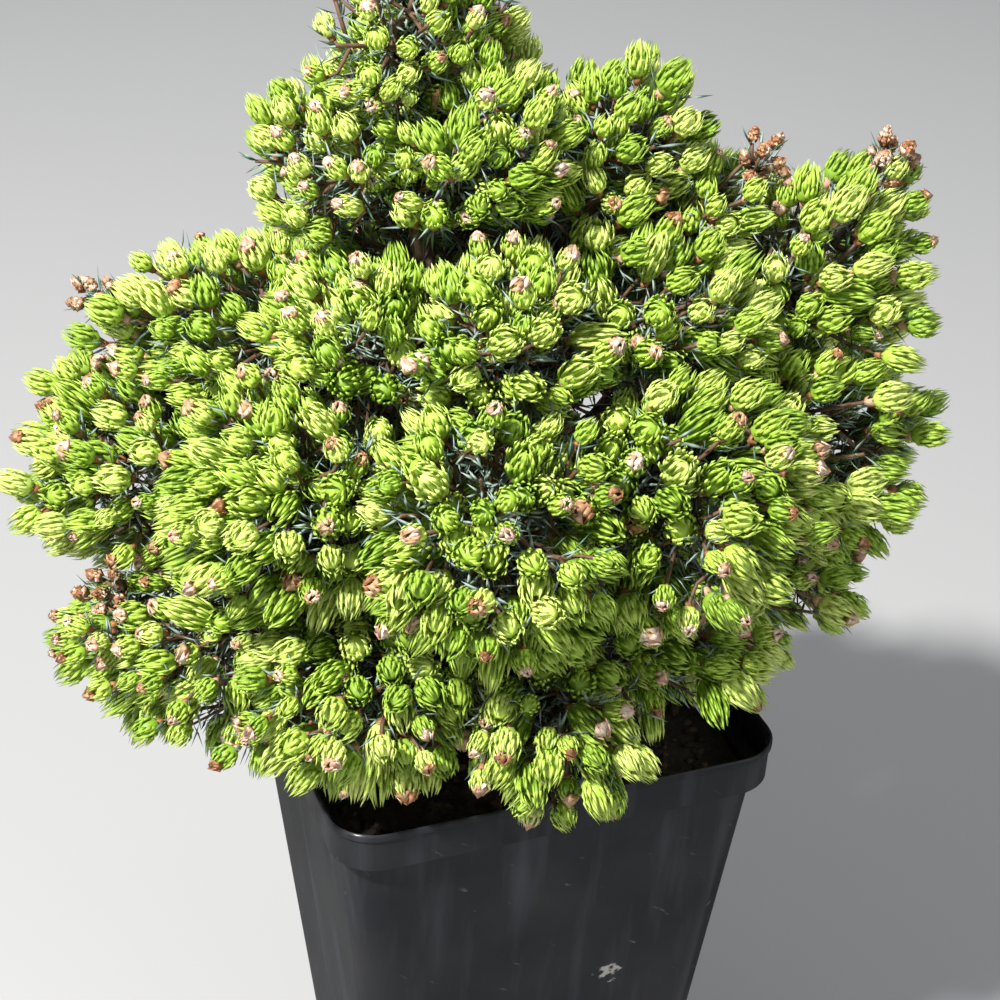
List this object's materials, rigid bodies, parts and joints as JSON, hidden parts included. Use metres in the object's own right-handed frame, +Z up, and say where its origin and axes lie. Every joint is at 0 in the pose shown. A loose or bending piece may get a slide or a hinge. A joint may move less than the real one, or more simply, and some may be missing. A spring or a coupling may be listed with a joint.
{
  "type": "potted dwarf spruce",
  "caption": "Dense rounded dwarf spruce with short plump new shoots, growing from a leaning trunk in a square black nursery pot.",
  "frame": {"origin": "middle of the pot's flat underside", "axes": "+Z up along the pot; the pot's sides face +X, -X, +Y and -Y, and -Y is the side that the view shows"},
  "size_m": [0.2915, 0.2612, 0.4539],
  "materials": {
    "pot": "moulded black polypropylene with a soft gloss, dusty towards the foot",
    "compost": "damp peat compost with bark fibre",
    "bark": "scaly grey-brown bark, orange-brown on the young twigs",
    "needles": "fresh lime-green new needles over blue-green old ones, with tan bud scales at some tips"
  },
  "bodies": {
    "root": {"pot": "pot", "compost": "compost", "trunk": "bark", "bough_skirt_front": "bark", "bough_skirt_front_left": "bark", "bough_skirt_left": "bark", "bough_skirt_back_left": "bark", "bough_skirt_back": "bark", "bough_skirt_back_right": "bark", "bough_skirt_right": "bark", "bough_skirt_front_right": "bark", "bough_mid_left": "bark", "bough_mid_front_left": "bark", "bough_mid_front": "bark", "bough_mid_front_right": "bark", "bough_mid_right": "bark", "bough_mid_back_right": "bark", "bough_mid_back": "bark", "bough_mid_back_left": "bark", "bough_up_left": "bark", "bough_up_front_left": "bark", "bough_up_front": "bark", "bough_up_front_right": "bark", "bough_up_right": "bark", "bough_far_right": "bark", "bough_up_back_right": "bark", "bough_up_back_left": "bark", "bough_top_right": "bark", "skirt_front": "needles", "skirt_front_left": "needles", "skirt_left": "needles", "skirt_back_left": "needles", "skirt_back": "needles", "skirt_back_right": "needles", "skirt_right": "needles", "skirt_front_right": "needles", "mid_left": "needles", "mid_front_left": "needles", "mid_front": "needles", "mid_front_right": "needles", "mid_right": "needles", "mid_back_right": "needles", "mid_back": "needles", "mid_back_left": "needles", "up_left": "needles", "up_front_left": "needles", "up_front": "needles", "up_front_right": "needles", "up_right": "needles", "far_right": "needles", "up_back_right": "needles", "up_back_left": "needles", "top_left": "needles", "top_front": "needles", "top_right": "needles", "top_back": "needles", "leader_left": "needles", "leader_right": "needles"}
  },
  "joints": []
}
